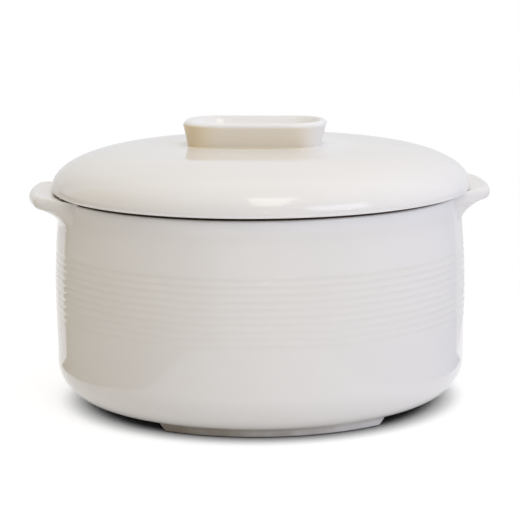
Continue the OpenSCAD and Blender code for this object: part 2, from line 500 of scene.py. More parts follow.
@dataclass
class PotShell:
    """The pot's wall and floor, turned in one with its band of ribs.

    Attributes:
        belly_r: Largest radius of the wall.
        rim_z: Height of the rim.
        base_z: Height of the underside.
        belly_z: Height of the widest line.
        rim_draw: How far the wall draws in from there to the rim.
        heel_draw: How far it draws in down to the base corner.
        base_round: Radius of the base corner.
        floor_round: Radius of the inside corner.
        wall: Thickness of the wall.
        floor_t: Thickness of the floor.
        rim_round: Radius of the rim's edges.
        rib_count: Number of ribs.
        rib_pitch: Height of one rib.
        rib_depth: Depth of the first groove.
        rib_step: Share of a rib's height in which it steps in.
        rib_fade: Share of the depth that is lost over the band.
        rib_drop: Distance from the rim down to the first rib.
        rib_pool_and_shade: Mark in a groove: pooled glaze, and painted shade that deepens the ribs.
        rib_rows: Rows of points for one rib.
        throw_pitch: Height of one throwing ring on the inside.
        throw_depth: Depth of a throwing ring.
        throw_rim: Distance below the rim in which the throwing rings come in.
        throw_heel: Distance from the inside corner in which they come in.
        throw_eye: Distance from the middle of the floor in which they come in.
        lip_painted_light: Distance below the rim over which painted light fades out, lightening the wall
            against the shade of the lid's overhang.
        mouth_thin: Glaze mark of the rim's inner edge.
        wiped: Depth of the bare faces at the rim and under the base. Their dark clay is partly painted shade:
            it darkens the seam under the lid and the gap under the base.
        lip_up: How far up a face of the rim looks, at least, to be bare.
        base_down: How far down a face of the base looks, at least, to be bare.
        segments: Steps round the axis.
    """

    belly_r: float
    rim_z: float
    base_z: float
    belly_z: float = 61 * MM
    rim_draw: float = 3.8 * MM
    heel_draw: float = 0.5 * MM
    base_round: float = 20.5 * MM
    floor_round: float = 16 * MM
    wall: float = 7.8 * MM
    floor_t: float = 8 * MM
    rim_round: float = 2 * MM
    rib_count: int = 10
    rib_pitch: float = 3.85 * MM
    rib_depth: float = 0.22 * MM
    rib_step: float = 0.3
    rib_fade: float = 0.5
    rib_drop: float = 29.7 * MM
    rib_pool_and_shade: float = 0.3
    rib_rows: int = 16
    throw_pitch: float = 6.5 * MM
    throw_depth: float = 0.1 * MM
    throw_rim: float = 20 * MM
    throw_heel: float = 12 * MM
    throw_eye: float = 10 * MM
    lip_painted_light: float = 8.5 * MM
    mouth_thin: float = -0.6
    wiped: float = 0.6 * MM
    lip_up: float = 0.65
    base_down: float = 0.97
    segments: int = 200

    @classmethod
    def from_frame(cls) -> "PotShell":
        """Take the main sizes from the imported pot."""
        low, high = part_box("pot_body")
        return cls(belly_r=high.x, rim_z=high.z, base_z=low.z)

    @property
    def heel_z(self) -> float:
        """Height where the wall runs into the base corner."""
        return self.base_z + self.base_round

    @property
    def lip_r(self) -> float:
        """Radius of the wall where the rim starts to round over."""
        return self.wall_r(self.rim_z - self.rim_round)

    def wall_r(self, z: float) -> float:
        """Give the outside radius of the plain wall at height z."""
        if z > self.belly_z:
            return self.belly_r - self.rim_draw * ((z - self.belly_z) / (self.rim_z - self.belly_z)) ** 2
        share = (self.belly_z - z) / (self.belly_z - self.heel_z)
        return self.belly_r - self.heel_draw * (1 - math.cos(math.pi * share)) / 2

    def base_at(self, r: float) -> float:
        """Give the height of the base corner's surface at radius r."""
        out = r - (self.wall_r(self.heel_z) - self.base_round)
        return self.heel_z - math.sqrt(self.base_round ** 2 - out ** 2)

    def rib_cut(self, z: float) -> float:
        """Give the share of the groove depth at height z, from 0 on a crest to 1 in a groove.

        Each rib swells slowly towards its lower edge and steps in sharply under it, and the band grows
        fainter towards its foot.
        """
        turn = (self.rim_z - self.rib_drop - z) / self.rib_pitch
        if not 0 <= turn <= self.rib_count:
            return 0.0
        along = turn % 1
        if along < self.rib_step:
            share = ease(along / self.rib_step)
        else:
            share = 1 - ease((along - self.rib_step) / (1 - self.rib_step))
        return share * (1 - self.rib_fade * turn / self.rib_count)

    def outside(self) -> tuple[Outline, list[float]]:
        """Draw the outside from the middle of the base up to the rim, with the glaze marks and the painted
        light and shade.
        """
        corner = (self.wall_r(self.heel_z) - self.base_round, self.heel_z)
        line: Outline = [(0, self.base_z), (0.5 * corner[0], self.base_z)]
        line += arc(corner, self.base_round, -90, 0, 24)
        rib_top, lip_z = self.rim_z - self.rib_drop, self.rim_z - self.rim_round
        rib_low = rib_top - self.rib_count * self.rib_pitch
        line += [(self.wall_r(z), z) for z in steps(self.heel_z, rib_low, 14)[1:]]
        marks = [0.0] * len(line)
        # The grooves are darkened: partly pooled glaze, partly painted shade.
        for z in steps(rib_low, rib_top, self.rib_rows * self.rib_count)[1:]:
            cut = self.rib_cut(z)
            line.append((self.wall_r(z) - self.rib_depth * cut, z))
            marks.append(self.rib_pool_and_shade * cut)
        # Painted light: the wall below the rim and the rim's round are marked lighter against the shade of
        # the lid's overhang.
        for z in steps(rib_top, lip_z, 20)[1:]:
            line.append((self.wall_r(z), z))
            marks.append(-ease(1 - (lip_z - z) / self.lip_painted_light))
        lip = arc((self.lip_r - self.rim_round, lip_z), self.rim_round, 0, 90, 8)[1:]
        return line + lip, marks + [-1.0] * len(lip)

    def throw(self, along: float, fade: float) -> float:
        """Give the height of a throwing ring, from the distance along the clay and how far it has come in."""
        return self.throw_depth * fade * math.sin(2 * math.pi * along / self.throw_pitch)

    def inside(self) -> tuple[Outline, list[float]]:
        """Draw the inside from the rim down to the middle of the floor, with the glaze marks."""
        mouth_r = self.wall_r(self.rim_z) - self.wall
        floor_z = self.base_z + self.floor_t
        heel_z = floor_z + self.floor_round
        heel_r = self.wall_r(heel_z) - self.wall
        top, flat_r = self.rim_z - self.rim_round, heel_r - self.floor_round
        line = arc((mouth_r + self.rim_round, top), self.rim_round, 90, 180, 8)
        marks = [self.mouth_thin] * len(line)
        for z in steps(top, heel_z, 56)[1:]:
            fade = ease((top - z) / self.throw_rim) * ease((z - heel_z) / self.throw_heel)
            line.append((self.wall_r(z) - self.wall + self.throw(z, fade), z))
        line += arc((flat_r, heel_z), self.floor_round, 0, -90, 14)[1:]
        for r in steps(flat_r, 0, 64)[1:]:
            fade = ease((flat_r - r) / self.throw_heel) * ease(r / self.throw_eye)
            line.append((r, floor_z + self.throw(r, fade)))
        return line, marks + [0.0] * (len(line) - len(marks))

    def build(self, kiln: Kiln) -> None:
        """Turn the pot and dress it."""
        (out, out_marks), (into, into_marks) = self.outside(), self.inside()
        form = ClayForm.turned(out + into, out_marks + into_marks, (0, 0), self.segments)
        # Bare dark clay on the rim's top and under the base: unglazed faces, and painted shade for the seam
        # under the lid and the gap under the base.
        rim, base = self.rim_z - self.wiped, self.base_z + self.wiped
        piece = form.fire("pot_shell", lambda at, normal: (at.z > rim and normal.z > self.lip_up)
                          or (at.z < base and normal.z < -self.base_down))
        kiln.dress(piece, kiln.pot, Body.POT, Slot.POT, "pot_body")


@dataclass
class Lug:
    """One lug handle: a rounded tab that grows out of the wall under the rim.

    Attributes:
        side: The side of the pot that it stands on.
        pot: The pot that carries it.
        tip_r: Radius of its outer edge about the pot's axis.
        top_z: Height of its highest edge.
        tip_t: Thickness at the outer edge.
        root_t: Height of the root on the wall.
        root_lift: Height of the root's top above the rim.
        crest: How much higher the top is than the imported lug's.
        right_lift: How much higher than that the right lug was set.
        dip: Depth of the dip next to the rim.
        dip_run: Width of the dip.
        end_drop: How far the ends sink along the wall.
        flat_half: Half the length over which the lug has its full reach.
        blend: Length of each end, which runs out into the wall.
        low_pull: Bend of the underside near the wall, as shares of the reach and of the root's height.
        far_pull: Its bend near the outer edge, as shares of the reach and of the edge's thickness.
        tuck: How far the top runs in over the rim, as a share of the rim's radius.
        tuck_drop: How far below the rim it ends there.
        bury: How far the ends sink into the wall.
        sunk: How far the root sinks into the wall.
        under_pool: Glaze mark under the root.
        pool_rows: Number of rows that have this mark.
    """

    side: Side
    pot: PotShell
    tip_r: float
    top_z: float
    tip_t: float = 6.9 * MM
    root_t: float = 16.2 * MM
    root_lift: float = 0.4 * MM
    crest: float = 0.7 * MM
    right_lift: float = 0.9 * MM
    dip: float = 0.9 * MM
    dip_run: float = 6 * MM
    end_drop: float = 2.4 * MM
    flat_half: float = 29.3 * MM
    blend: float = 16.5 * MM
    low_pull: tuple[float, float] = (0.08, 0.62)
    far_pull: tuple[float, float] = (0.5, 0.33)
    tuck: float = 0.6
    tuck_drop: float = 0.5 * MM
    bury: float = 0.5 * MM
    sunk: float = 1.5 * MM
    under_pool: float = 0.3
    pool_rows: int = 5

    @classmethod
    def from_frame(cls, side: Side, pot: PotShell) -> "Lug":
        """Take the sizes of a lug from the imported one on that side."""
        low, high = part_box("left_lug" if side is Side.LEFT else "right_lug")
        lift = cls.right_lift if side is Side.RIGHT else 0.0
        return cls(side, pot, max(abs(low.x), abs(high.x)), high.z + cls.crest + lift)

    def section(self) -> Outline:
        """Draw the middle section from the wall below, out round the edge and back over the top to the rim.

        Returns:
            The distance out from the wall and the height of each point.
        """
        reach, nose = self.tip_r - self.pot.lip_r, self.tip_t / 2
        root_top = self.pot.rim_z + self.root_lift
        edge = (reach - nose, self.top_z - nose)
        under = (edge[0], edge[1] - nose)
        pull = ((0, root_top - self.root_t),
                (self.low_pull[0] * reach, root_top - self.low_pull[1] * self.root_t),
                (self.far_pull[0] * reach, under[1] - self.far_pull[1] * self.tip_t), under)
        line: Outline = []
        for t in steps(0, 1, 16)[:-1]:
            share = ((1 - t) ** 3, 3 * t * (1 - t) ** 2, 3 * t * t * (1 - t), t ** 3)
            out, z = (sum(k * p[i] for k, p in zip(share, pull)) for i in (0, 1))
            line.append((out, z))
        line += arc(edge, nose, -90, 90, 16)
        for t in steps(0, 1, 14)[1:]:
            out = edge[0] * (1 - t)
            dip = self.dip * max(0.0, 1 - out / self.dip_run) ** 2
            line.append((out, root_top + (self.top_z - root_top) * out / reach - dip))
        line.append((-self.tuck * self.pot.rim_round, self.pot.rim_z - self.tuck_drop))
        return line

    def build(self, kiln: Kiln) -> None:
        """Draw the lug and dress it."""
        half = self.flat_half + self.blend
        spans = [-half + self.blend * t for t in steps(0, 1, 16)]
        spans += steps(-self.flat_half, self.flat_half, 16)[1:-1] + [-x for x in reversed(spans)]
        rows: list[Row] = []
        line = self.section()
        inner = [(-self.sunk, line[-1][1] - self.sunk), (-self.sunk, line[0][1])]
        reach = self.tip_r - self.pot.lip_r
        for out, z in line + inner:
            row: Row = []
            wall = self.pot.wall_r(min(z, self.pot.rim_z - self.pot.rim_round))
            lift = ease((z - line[0][1]) / self.root_t)
            for y in spans:
                share = ease((half - abs(y)) / self.blend)
                wall_x = math.sqrt(wall ** 2 - y ** 2)
                stand = max(out, 0.0) * (math.sqrt(self.tip_r ** 2 - y ** 2) - wall_x) / reach
                x = wall_x + share * stand + min(out, 0.0) - self.bury * (1 - share) ** 4
                row.append((self.side.value * x, y, z - self.end_drop * (1 - share) * lift))
            rows.append(row)
        marks = [self.under_pool] * self.pool_rows + [0.0] * (len(rows) - self.pool_rows)
        node = "left_lug" if self.side is Side.LEFT else "right_lug"
        piece = ClayForm.lofted(rows, marks, False).fire(f"{node}_handle")
        kiln.dress(piece, kiln.pot, Body.POT, Slot.POT, node)


@dataclass
class Foot:
    """One arc of the foot ring, with sloping ends and a wiped standing face.

    Attributes:
        place: Which of the three feet it is.
        pot: The pot that stands on it.
        outer_r: Radius of its outer face.
        width: Width of the ring.
        span_deg: Turn of the ring that stands on the table.
        ramp: Length of each sloping end at the height of the base.
        edge_round: Radius of the lower edges.
        top_z: Height up to which it runs into the base.
        fillet: Radius where the outer face meets the base.
        fillet_drop: Distance from the base down to the fillet's centre, as a share of its radius.
        inner_lean: How far the inner face leans in at its top, as a share of the fillet's radius.
        soft: How softly a sloping end starts.
        end_run: Share of the height over which a sloping end runs.
        full_lift: Share of the height at which it closes.
        wiped: Height of the bare standing face.
        bare_up: How far up a face looks, at most, to be bare.
        seam_pool: Glaze mark along the base.
        pool_rows: Numbers of rows that have this mark, inside and outside.
    """

    place: FootPlace
    pot: PotShell
    outer_r: float
    width: float = 8 * MM
    span_deg: float = 71
    ramp: float = 3.5 * MM
    edge_round: float = 1.2 * MM
    top_z: float = 6.4 * MM
    fillet: float = 1.8 * MM
    fillet_drop: float = 0.82
    inner_lean: float = 0.3
    soft: float = 0.8 * MM
    end_run: float = 0.98
    full_lift: float = 0.97
    wiped: float = 0.7 * MM
    bare_up: float = 0.2
    seam_pool: float = 0.5
    pool_rows: tuple[int, int] = (2, 6)

    @classmethod
    def from_frame(cls, place: FootPlace, pot: PotShell) -> "Foot":
        """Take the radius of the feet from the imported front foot."""
        low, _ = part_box("front_foot")
        return cls(place, pot, -low.y)

    def section(self) -> Outline:
        """Draw the foot's section from the inner face down, across the standing face and up again."""
        inner, r, f = self.outer_r - self.width, self.edge_round, self.fillet
        meet_z = self.pot.base_at(self.outer_r)
        line = [(inner - self.inner_lean * f, self.top_z), (inner, self.top_z / 2)]
        line += arc((inner + r, r), r, 180, 270, 5)
        line += arc((self.outer_r - r, r), r, 270, 360, 6)
        line += arc((self.outer_r + f, meet_z - self.fillet_drop * f), f, 180, 100, 6)
        line.append((self.outer_r + f, self.top_z))
        return line

    def build(self, kiln: Kiln) -> None:
        """Sweep the foot along its arc and dress it."""
        slope = self.pot.base_z / self.ramp
        run = math.degrees(self.end_run * self.top_z / slope / self.outer_r)
        half = self.span_deg / 2
        turns = [-half - run * t for t in steps(1, 0, 12)[:-1]]
        turns += steps(-half, half, 48) + [half + run * t for t in steps(0, 1, 12)[1:]]
        rows: list[Row] = []
        for r, z in self.section():
            row: Row = []
            for turn in turns:
                past = math.radians(max(0.0, abs(turn) - half)) * self.outer_r
                soft = past * past / (past + self.soft)
                lift = min(slope * soft, self.full_lift * self.top_z)
                a = math.radians(self.place.value + turn)
                row.append((r * math.cos(a), r * math.sin(a), lift + z * (1 - lift / self.top_z)))
            rows.append(row)
        inside, outside = self.pool_rows
        marks = [self.seam_pool] * inside + [0.0] * (len(rows) - inside - outside)
        marks += [self.seam_pool] * outside
        node = f"{self.place.name.lower()}_foot"
        piece = ClayForm.lofted(rows, marks, False).fire(
            f"{node}_arc", lambda at, normal: normal.z < self.bare_up and at.z < self.wiped)
        kiln.dress(piece, kiln.foot, Body.POT, Slot.FOOT, node)


@dataclass
class LidShell:
    """The lid's dome, its rounded edge, the bearing face and the hollow under it.

    Attributes:
        centre: X and Y of the lid's axis.
        edge_r: Radius of its widest line.
        seat_z: Height of the bearing face.
        crown_z: Height of the crown.
        seat_r: Outer radius of the bearing face.
        edge_h: Height of the widest line above the bearing face.
        power: How flat the dome is in the middle.
        thick: Thickness of the dome in the middle.
        seam_gap: Height of the open seam over the rim.
        seat_w: Width of the bearing face.
        crown_r: Radius at which the dome reaches the height of the crown.
        sag: How far the middle has sunk.
        sag_r: Radius in which it has sunk.
        crown_painted_light: Strength of the painted light on the crown round the knob, which offsets the
            knob's shade.
        crown_light_r: Radius up to which it is that strong.
        crown_light_run: Distance in which it fades out.
        edge_painted_light: Mark of the rounded edge, which lightens it as a painted highlight.
        wiped: Height above the seam up to which the underside is bare.
        corner: Radius of the corners of the bearing face.
        segments: Steps round the axis.
    """

    centre: tuple[float, float]
    edge_r: float
    seat_z: float
    crown_z: float
    seat_r: float
    edge_h: float = 3.1 * MM
    power: float = 4.2
    thick: float = 7 * MM
    seam_gap: float = 1.2 * MM
    seat_w: float = 3.4 * MM
    crown_r: float = 44.2 * MM
    sag: float = 1.5 * MM
    sag_r: float = 92 * MM
    crown_painted_light: float = 0.8
    crown_light_r: float = 36 * MM
    crown_light_run: float = 26 * MM
    edge_painted_light: float = -0.7
    wiped: float = 0.05 * MM
    corner: float = 0.6 * MM
    segments: int = 220

    @classmethod
    def from_frame(cls, pot: PotShell) -> "LidShell":
        """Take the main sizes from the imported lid, and the bearing face from the pot's rim."""
        low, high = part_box("lid_shell")
        middle = (low + high) / 2
        seat_r = pot.wall_r(pot.rim_z) - pot.rim_round
        return cls((middle.x, middle.y), (high.x - low.x) / 2, low.z, high.z, seat_r)

    @property
    def edge_z(self) -> float:
        """Height of the widest line."""
        return self.seat_z + self.edge_h

    @property
    def rise(self) -> float:
        """Rise of the dome from the widest line to its middle."""
        return (self.crown_z - self.edge_z) / math.sqrt(1 - (self.crown_r / self.edge_r) ** self.power)

    def curve(self, radius: float, base_z: float, rise: float, turn: float) -> tuple[float, float]:
        """Give a point of a flattened dome, for a turn from 0 at its edge to 90 degrees at its middle."""
        a = math.radians(turn)
        return radius * max(0.0, math.cos(a)) ** (2 / self.power), base_z + rise * math.sin(a)

    def build(self, kiln: Kiln) -> None:
        """Turn the lid and dress it."""
        line = [self.curve(self.edge_r, self.edge_z, self.rise, t) for t in steps(90, 0, 72)]
        line = [(r, z - self.sag * max(0.0, 1 - (r / self.sag_r) ** 2) ** 2) for r, z in line]
        line[0] = (0.0, line[0][1])
        # Painted light: the crown round the knob is marked lighter against the knob's shade.
        marks = [-self.crown_painted_light * (1 - ease((r - self.crown_light_r) / self.crown_light_run)) for r, _ in line]
        drop = self.edge_h - self.seam_gap
        inside_r = self.edge_r - drop
        edge = arc((inside_r, self.edge_z), drop, 0, -90, 12)[1:]
        gap_z, c = self.seat_z + self.seam_gap, self.corner
        step = arc((self.seat_r + c, gap_z - c), c, 90, 180, 4)
        step += arc((self.seat_r - c, self.seat_z + c), c, 0, -90, 4)
        hollow_r = self.seat_r - self.seat_w
        rise = self.crown_z - self.thick - self.seat_z
        hollow = [self.curve(hollow_r, self.seat_z, rise, t) for t in steps(0, 90, 48)]
        hollow[-1] = (0.0, hollow[-1][1])
        line += edge + step + hollow
        # The rounded edge gets a painted highlight, a lighter line where it catches the light.
        marks += [self.edge_painted_light] * len(edge) + [0.0] * (len(step) + len(hollow))
        axis = Vector(self.centre)

        def bare(at: Vector, normal: Vector) -> bool:
            """Tell whether a face has no glaze: the bearing face and the underside out to the edge."""
            return at.z < gap_z + self.wiped and hollow_r < (at.xy - axis).length < inside_r

        piece = ClayForm.turned(line, marks, self.centre, self.segments).fire("lid_dome", bare)
        kiln.dress(piece, kiln.lid, Body.LID, Slot.LID, "lid_shell")


@dataclass
class LocatingRing:
    """The ring under the lid that keeps it in the mouth of the pot.

    Attributes:
        centre: X and Y of the lid's axis.
        outer_r: Radius of its outer face.
        low_z: Height of its lower edge.
        high_z: Height of its top, where it meets the hollow.
        width: Thickness of the ring.
        edge_round: Radius of its lower edges.
        flare: How far its inner face runs out into the hollow.
        flare_h: Height over which it does.
        outer_drop: How much lower the outer face ends.
        outer_h: Height of the outer face's upper part.
        flare_pool: Glaze mark where it meets the hollow.
        pool_rows: Number of rows that have this mark.
        segments: Steps round the axis.
    """

    centre: tuple[float, float]
    outer_r: float
    low_z: float
    high_z: float
    width: float = 4 * MM
    edge_round: float = 1.6 * MM
    flare: float = 1.4 * MM
    flare_h: float = 4.2 * MM
    outer_drop: float = 1.6 * MM
    outer_h: float = 4 * MM
    flare_pool: float = 0.4
    pool_rows: int = 4
    segments: int = 160

    @classmethod
    def from_frame(cls) -> "LocatingRing":
        """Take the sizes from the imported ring."""
        low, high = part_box("lid_locating_ring")
        middle = (low + high) / 2
        return cls((middle.x, middle.y), (high.x - low.x) / 2, low.z, high.z)

    def build(self, kiln: Kiln) -> None:
        """Turn the ring and dress it."""
        inner, r = self.outer_r - self.width, self.edge_round
        outer_top = self.high_z - self.outer_drop
        line = [(inner - self.flare * t * t, self.high_z + (t - 1) * self.flare_h) for t in steps(1, 0, 5)]
        line += arc((inner + r, self.low_z + r), r, 180, 270, 6)
        line += arc((self.outer_r - r, self.low_z + r), r, 270, 360, 6)
        line += [(self.outer_r, outer_top - self.outer_h), (self.outer_r, outer_top)]
        marks = [self.flare_pool] * self.pool_rows + [0.0] * (len(line) - self.pool_rows)
        piece = ClayForm.turned(line, marks, self.centre, self.segments).fire("lid_locating_ring_glazed")
        kiln.dress(piece, kiln.lid, Body.LID, Slot.LID, "lid_locating_ring")


@dataclass
class Knob:
    """The oblong knob: flared sides, a rolled edge and a dish for the fingertips.

    Attributes:
        centre: X and Y of its middle.
        base_z: Height of the crown that it stands on.
        top_z: Height of its rim.
        length: Length over the rim.
        width: Width over the rim.
        turn_deg: Turn about the lid's axis.
        flare: How far the sides flare out from the base.
        flare_power: How late in their height they flare.
        corner: Corner radius at the rim.
        base_corner: Corner radius at the base.
        corner_limit: Largest corner radius, as a share of half the width.
        roll: Radius of the rolled edge.
        dish_wall: Width of the dish's wall, as a share of half the width inside the rolled edge.
        dish_depth: Depth of the dish.
        dish_line: Inset of the line that closes the floor of the dish, as a share of the width.
        dip: How far the rim sinks in the middle.
        lean: How far the rim sinks towards the front.
        fillet: Radius where the sides meet the lid.
        fillet_power: How quickly they leave the lid there.
        foot_pool_and_shade: Mark where the sides meet the lid: pooled glaze, and painted shade in the crease.
        side_pool_and_shade: Marks at the lower and upper ends of the sides: pooled glaze, and painted shade
            on the flared face.
        roll_painted_light: Change of the mark over the rolled edge, which lightens it as a painted highlight.
        dish_painted_light: Marks at the rim and in the middle of the dish, which lighten it as painted light
            against the shade in its hollow.
        end_shade_from: Share of the half length past which the painted shade of the ends comes in.
        end_shade_over: Share of the half length over which it does.
        corner_steps: Steps round each corner.
    """

    centre: tuple[float, float]
    base_z: float
    top_z: float
    length: float = 79.5 * MM
    width: float = 42.5 * MM
    turn_deg: float = -10
    flare: float = 2.8 * MM
    flare_power: float = 1.2
    corner: float = 17 * MM
    base_corner: float = 10.5 * MM
    corner_limit: float = 0.98
    roll: float = 2.7 * MM
    dish_wall: float = 0.36
    dish_depth: float = 6.0 * MM
    dish_line: float = 0.48
    dip: float = 0.2 * MM
    lean: float = 0.6 * MM
    fillet: float = 1.3 * MM
    fillet_power: float = 2.5
    foot_pool_and_shade: float = 0.85
    side_pool_and_shade: tuple[float, float] = (0.54, 0.48)
    roll_painted_light: float = -1.4
    dish_painted_light: tuple[float, float] = (-0.2, -0.9)
    end_shade_from: float = 0.5
    end_shade_over: float = 0.4
    corner_steps: int = 14

    @classmethod
    def from_frame(cls, lid: LidShell) -> "Knob":
        """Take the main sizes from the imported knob, and sink it into the crown as far as that sags."""
        low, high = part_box("lid_knob")
        middle = (low + high) / 2
        return cls((middle.x, middle.y), low.z - lid.sag, high.z)

    def oblong(self, inset: float, corner: float, z: float) -> Row:
        """Draw a closed outline with straight sides and round corners.

        Args:
            inset: Distance in from the knob's largest outline.
            corner: Corner radius.
            z: Height above the lid's crown.

        Returns:
            The points, turned and placed as the knob is.
        """
        half = (self.length / 2 - inset, self.width / 2 - inset)
        corner = min(corner, self.corner_limit * half[1])
        place = Matrix.Rotation(math.radians(self.turn_deg), 2)
        height = self.top_z - self.base_z
        outline: Outline = []
        for quarter, (sx, sy) in enumerate(((1, 1), (-1, 1), (-1, -1), (1, -1))):
            middle = (sx * (half[0] - corner), sy * (half[1] - corner))
            outline += arc(middle, corner, 90 * quarter, 90 * quarter + 90, self.corner_steps)
            if sx == sy:
                end_x, y = outline[-1]
                outline += [(x, y) for x in steps(end_x, -sx * (half[0] - corner), 8)[1:-1]]
        row: Row = []
        for x, y in outline:
            sag = self.dip * (1 - (2 * x / self.length) ** 2) * max(0.0, z / height) ** 2
            sag += self.lean * (0.5 - y / self.width) * max(0.0, z / height)
            p = place @ Vector((x, y))
            row.append((self.centre[0] + p.x, self.centre[1] + p.y, self.base_z + z - sag))
        return row

    def shade_left_end(self, point: Point, mark: float) -> float:
        """Shift a glaze mark of the sides towards the left end: painted shade, darker and warmer on the left
        end as if lit from the right.

        Args:
            point: The point of the knob.
            mark: Its glaze mark.

        Returns:
            The mark, up to 1 at the left end and down to 0 at the right end.
        """
        along = 2 * (point[0] - self.centre[0]) / self.length
        left, right = (ease((way * along - self.end_shade_from) / self.end_shade_over) for way in (-1, 1))
        return mark if mark < 0 else mark * (1 - right) + (1 - mark) * left

    def build(self, kiln: Kiln) -> None:
        """Draw the knob and dress it."""
        height = self.top_z - self.base_z
        rows: list[Row] = []
        marks: list[float] = []

        def put(inset: float, corner: float, z: float, mark: float) -> None:
            """Add one row of the knob."""
            rows.append(self.oblong(inset, corner, z))
            marks.append(mark)

        # The sides and the crease at their foot are darkened and warmed: partly pooled glaze, partly painted
        # shade.
        low, high = self.side_pool_and_shade
        put(self.flare - self.fillet, self.base_corner, -self.fillet, self.foot_pool_and_shade)
        for t in steps(0, 1, 8):
            put(self.flare - self.fillet * (1 - t) ** self.fillet_power, self.base_corner, self.fillet * t,
                self.foot_pool_and_shade + (low - self.foot_pool_and_shade) * t)
        side = height - self.roll
        for t in steps(0, 1, 8)[1:]:
            z = self.fillet + (side - self.fillet) * t
            share = (z / side) ** self.flare_power
            corner = self.base_corner + (self.corner - self.base_corner) * z / side
            put(self.flare * (1 - share), corner, z, low + (high - low) * t)
        # The rolled edge is marked lighter: a painted highlight.
        for a in steps(0, 90, 10)[1:]:
            turn = math.radians(a)
            z = height - self.roll * (1 - math.sin(turn))
            put(self.roll * (1 - math.cos(turn)), self.corner, z, high + self.roll_painted_light * math.sin(turn))
        wall_run = self.dish_wall * (self.width / 2 - self.roll)
        # Painted light: the dish is marked lighter against the shade in its hollow.
        brink, middle = self.dish_painted_light
        for t in steps(0, 1, 20)[1:]:
            z = height - self.dish_depth * (1 - math.cos(math.pi * t)) / 2
            put(self.roll + wall_run * t, self.corner, z, brink + (middle - brink) * t)
        put(self.dish_line * self.width, self.corner, height - self.dish_depth, middle)
        form = ClayForm.lofted(rows, marks, True)
        # Painted shade: the knob's left end is darker and warmer than its right end.
        form.pool_and_shade = [self.shade_left_end(point, mark) for point, mark in zip(form.points, form.pool_and_shade)]
        piece = form.fire("lid_knob_dished")
        kiln.dress(piece, kiln.lid, Body.LID, Slot.LID, "lid_knob")


@dataclass(frozen=True)
class Softbox:
    """One large lamp.

    Attributes:
        name: Name of the lamp.
        place: Centre of the lamp.
        aim: The point that it faces.
        size: Width and height in metres.
        glow: Brightness of its face in red, green and blue, where 1 is white.
    """

    name: str
    place: Point
    aim: Point
    size: tuple[float, float]
    glow: Colour

    def hang(self) -> bpy.types.Object:
        """Make the lamp."""
        strongest = max(self.glow)
        lamp = bpy.data.lights.new(self.name, "AREA")
        lamp.shape = "RECTANGLE"
        lamp.size, lamp.size_y = self.size
        lamp.color = [g / strongest for g in self.glow]
        lamp.energy = strongest * math.pi * self.size[0] * self.size[1]
        holder = bpy.data.objects.new(self.name, lamp)
        holder.location = self.place
        holder.rotation_euler = (Vector(self.aim) - Vector(self.place)).to_track_quat("-Z", "Y").to_euler()
        holder.visible_camera = False
        bpy.context.scene.collection.objects.link(holder)
        return holder


@dataclass(frozen=True)
class Card:
    """A card that shows only as a soft tone in the glaze.

    Attributes:
        name: Name of the card.
        corners: Its four corners in order.
        glow: Brightness of its face, where 1 is white.
    """

    name: str
    corners: tuple[Point, Point, Point, Point]
    glow: Colour

    @classmethod
    def upright(cls, name: str, start: tuple[float, float], end: tuple[float, float], high_z: float,
                glow: Colour) -> "Card":
        """Stand a card on the floor from one X and Y to another, up to a height."""
        return cls(name, ((*start, 0), (*end, 0), (*end, high_z), (*start, high_z)), glow)

    @classmethod
    def flat(cls, name: str, low: tuple[float, float], high: tuple[float, float], z: float,
             glow: Colour) -> "Card":
        """Lay a card down between two corners, at a height."""
        return cls(name, ((*low, z), (high[0], low[1], z), (*high, z), (low[0], high[1], z)), glow)

    def stand(self) -> bpy.types.Object:
        """Make the card, which only glossy rays see."""
        card = lay_sheet(self.name, self.corners)
        material, bench = NodeBench.for_finish(self.name)
        face = bench.add("ShaderNodeEmission", Color=(*self.glow, 1), Strength=1.0)
        bench.add("ShaderNodeOutputMaterial", Surface=face.outputs[0])
        card.data.materials.append(material)
        card.visible_camera = card.visible_diffuse = card.visible_shadow = False
        return card


@dataclass(frozen=True)
class LightLevels:
    """Brightness of each part of the light, where 1 is white.

    Attributes:
        fill_right: Soft light from the right of the room.
        fill_left: Soft light from the left.
        fill_back: Soft light from behind the part.
        fill_front: Soft light from the front.
        fill_above: Soft light from above.
        panel: The panel on the ceiling.
        window: The window on the right.
        card_left: Tone that shows at the left edge of the wall.
        card_right: Tone that shows at its right edge.
        card_right_wing: Tone of the light strip outside that.
        card_left_high: Tone of the room's left side in the glaze.
        card_right_high: Tone of its right side.
        card_front: Tone of its front.
        card_back: Tone of its back.
        glint: The two small bright lamps.
    """

    fill_right: Colour = (0.58, 0.60, 0.88)
    fill_left: Colour = (0.16, 0.085, 0.0)
    fill_back: Colour = (0.50, 0.46, 0.36)
    fill_front: Colour = (0.08, 0.07, 0.09)
    fill_above: Colour = (1.31, 1.295, 1.285)
    panel: Colour = (2.85, 2.80, 2.35)
    window: Colour = (2.15, 2.35, 2.80)
    card_left: Colour = (0.38, 0.33, 0.18)
    card_right: Colour = (0.52, 0.56, 0.60)
    card_right_wing: Colour = (0.80, 0.80, 0.81)
    card_left_high: Colour = (0.92, 0.87, 0.66)
    card_right_high: Colour = (1.00, 1.00, 0.92)
    card_front: Colour = (0.80, 0.80, 0.85)
    card_back: Colour = (0.78, 0.79, 0.82)
    glint: Colour = (5.0, 5.0, 5.0)


